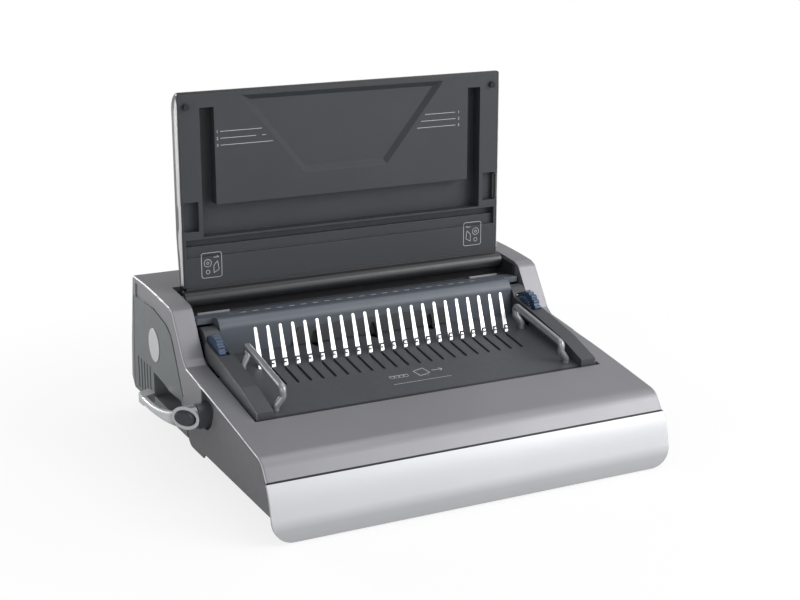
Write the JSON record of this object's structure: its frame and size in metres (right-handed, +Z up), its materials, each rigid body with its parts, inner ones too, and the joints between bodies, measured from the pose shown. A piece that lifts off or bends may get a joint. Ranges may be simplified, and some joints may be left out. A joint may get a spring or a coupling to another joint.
{
  "type": "comb binding machine",
  "caption": "Desk machine that punches a row of holes along loose sheets and opens a plastic comb over its tines, with hinged cover, side lever and waste drawer.",
  "frame": {"origin": "on the table, under the middle of the body", "axes": "+Z up, +Y from the drawer front to the back, +X along the width to the user's right; the side lever is on the -X side"},
  "size_m": [0.4867, 0.4338, 0.3835],
  "materials": {
    "silver_shell": "semi-gloss silver-grey paint",
    "bright_silver": "bright metallic silver",
    "front_panel_grey": "fine satin",
    "rear_panel_grey": "fine satin",
    "charcoal": "fine texture",
    "housing_grey": "satin",
    "dark_plastic": "matt",
    "black_gloss": "gloss",
    "light_inlay": "gloss",
    "rail_silver": "satin silver paint",
    "lever_silver": "satin silver paint",
    "tine_steel": "polished",
    "tool_steel": "ground",
    "wheel_blue": "satin",
    "block_silver": "satin silver",
    "gear_plastic": "natural",
    "bronze": "plain",
    "foot_rubber": "matt",
    "board_green": "solder mask",
    "button_green": "gloss",
    "zinc_steel": "zinc plated"
  },
  "bodies": {
    "body": {"base_tray": "charcoal", "block_trims": "block_silver", "carriage_rails": "dark_plastic", "control_board": "board_green", "deck_plate": "charcoal", "drive_motor": "zinc_steel", "finger_pan": "rear_panel_grey", "foot_screws": "zinc_steel", "front_die": "tool_steel", "hinge_brackets": "zinc_steel", "housing_panel": "block_silver", "left_frame": "zinc_steel", "left_front_panel": "front_panel_grey", "left_guide_rail": "rail_silver", "left_rear_panel": "rear_panel_grey", "left_side_block": "charcoal", "lever_boss": "dark_plastic", "mains_inlet": "dark_plastic", "oval_inlays": "light_inlay", "punch_housing": "housing_grey", "rear_cover": "silver_shell", "rear_die": "tool_steel", "right_frame": "zinc_steel", "right_front_panel": "front_panel_grey", "right_guide_rail": "rail_silver", "right_rear_panel": "rear_panel_grey", "right_side_block": "charcoal", "rocker_frame": "dark_plastic", "rubber_feet": "foot_rubber", "shaft_bushes": "bronze", "throat_liner": "dark_plastic", "tine_plate": "tine_steel", "upper_shell": "silver_shell"},
    "cover": {"cover_shell": "dark_plastic", "cover_lining": "charcoal", "cover_barrel": "dark_plastic", "cover_trims": "light_inlay", "cover_bumpers": "foot_rubber"},
    "opening_lever": {"comb_lever": "lever_silver", "lever_dome": "black_gloss", "lever_shaft": "tool_steel", "lever_pinions": "gear_plastic"},
    "hook_carriage": {"hook_plate": "tine_steel", "carriage_racks": "gear_plastic"},
    "waste_drawer": {"drawer_tray": "charcoal", "drawer_front": "bright_silver"},
    "cam_drive": {"camshaft": "tool_steel", "cam_gear": "gear_plastic"},
    "idler": {"idler_gear": "gear_plastic"},
    "motor_rotor": {"motor_pinion": "bronze"},
    "punch_slide": {"punch_bar": "tool_steel", "punch_pins": "tine_steel"},
    "left_wheel": {"left_guide_wheel": "wheel_blue"},
    "right_wheel": {"right_guide_wheel": "wheel_blue"},
    "guide_spindle": {"guide_screw": "zinc_steel"},
    "left_guide": {"left_edge_guide": "gear_plastic"},
    "right_guide": {"right_edge_guide": "gear_plastic"},
    "button": {"punch_button": "button_green"},
    "rocker": {"power_rocker": "black_gloss"}
  },
  "joints": [
    {"name": "cover_hinge", "type": "hinge", "parent": "body", "child": "cover", "pos_m": [0, 0.102, 0.157], "axis": [1, 0, 0], "range_deg": [0, 105]},
    {"name": "lever_turn", "type": "hinge", "parent": "body", "child": "opening_lever", "pos_m": [0, -0.034, 0.0725], "axis": [1, 0, 0], "range_deg": [0, 120]},
    {"name": "carriage_slide", "type": "slide", "parent": "body", "child": "hook_carriage", "axis": [0, -0.9897, -0.1435], "range_m": [0, 0.0357]},
    {"name": "drawer_slide", "type": "slide", "parent": "body", "child": "waste_drawer", "axis": [0, -1, 0], "range_m": [0, 0.22]},
    {"name": "cam_turn", "type": "hinge", "parent": "body", "child": "cam_drive", "pos_m": [0, 0.141, 0.124], "axis": [1, 0, 0], "range_deg": [0, 180]},
    {"name": "punch_stroke", "type": "slide", "parent": "body", "child": "punch_slide", "axis": [0, -1, 0], "range_m": [0, 0.008]},
    {"name": "idler_turn", "type": "hinge", "parent": "body", "child": "idler", "pos_m": [0, 0.15827, 0.09408], "axis": [1, 0, 0], "range_deg": [-648.5, 0]},
    {"name": "rotor_turn", "type": "hinge", "parent": "body", "child": "motor_rotor", "pos_m": [0, 0.1528, 0.06301], "axis": [1, 0, 0], "range_deg": [0, 2074.1]},
    {"name": "left_wheel_turn", "type": "hinge", "parent": "body", "child": "left_wheel", "pos_m": [0, 0.019, 0.117], "axis": [1, 0, 0], "range_deg": [-72, 396]},
    {"name": "right_wheel_turn", "type": "hinge", "parent": "body", "child": "right_wheel", "pos_m": [0, 0.019, 0.117], "axis": [1, 0, 0], "range_deg": [-72.5, 396.5]},
    {"name": "spindle_turn", "type": "hinge", "parent": "body", "child": "guide_spindle", "pos_m": [0, 0.04854, 0.12221], "axis": [1, 0, 0], "range_deg": [-396.5, 72.5]},
    {"name": "left_guide_slide", "type": "slide", "parent": "body", "child": "left_guide", "axis": [1, 0, 0], "range_m": [-0.00202, 0.01102]},
    {"name": "right_guide_slide", "type": "slide", "parent": "body", "child": "right_guide", "axis": [-1, 0, 0], "range_m": [-0.00202, 0.01102]},
    {"name": "button_press", "type": "slide", "parent": "body", "child": "button", "axis": [-1, 0, 0], "range_m": [0, 0.003], "stiffness_N_per_m": 400, "springref_m": -0.001},
    {"name": "rocker_tilt", "type": "hinge", "parent": "body", "child": "rocker", "pos_m": [0, 0.208, 0.06], "axis": [1, 0, 0], "range_deg": [-9, 9]}
  ],
  "couplings": [
    {"joint": "carriage_slide", "follows": "lever_turn", "m_per_rad": 0.017},
    {"joint": "cam_turn", "follows": "punch_stroke", "rad_per_m": 392.7},
    {"joint": "idler_turn", "follows": "punch_stroke", "rad_per_m": -1413.7},
    {"joint": "rotor_turn", "follows": "punch_stroke", "rad_per_m": 4523.9},
    {"joint": "right_wheel_turn", "follows": "left_wheel_turn", "ratio": 1},
    {"joint": "spindle_turn", "follows": "left_wheel_turn", "ratio": -1},
    {"joint": "left_guide_slide", "follows": "left_wheel_turn", "m_per_rad": 0.0015915},
    {"joint": "right_guide_slide", "follows": "left_wheel_turn", "m_per_rad": 0.0015915}
  ]
}
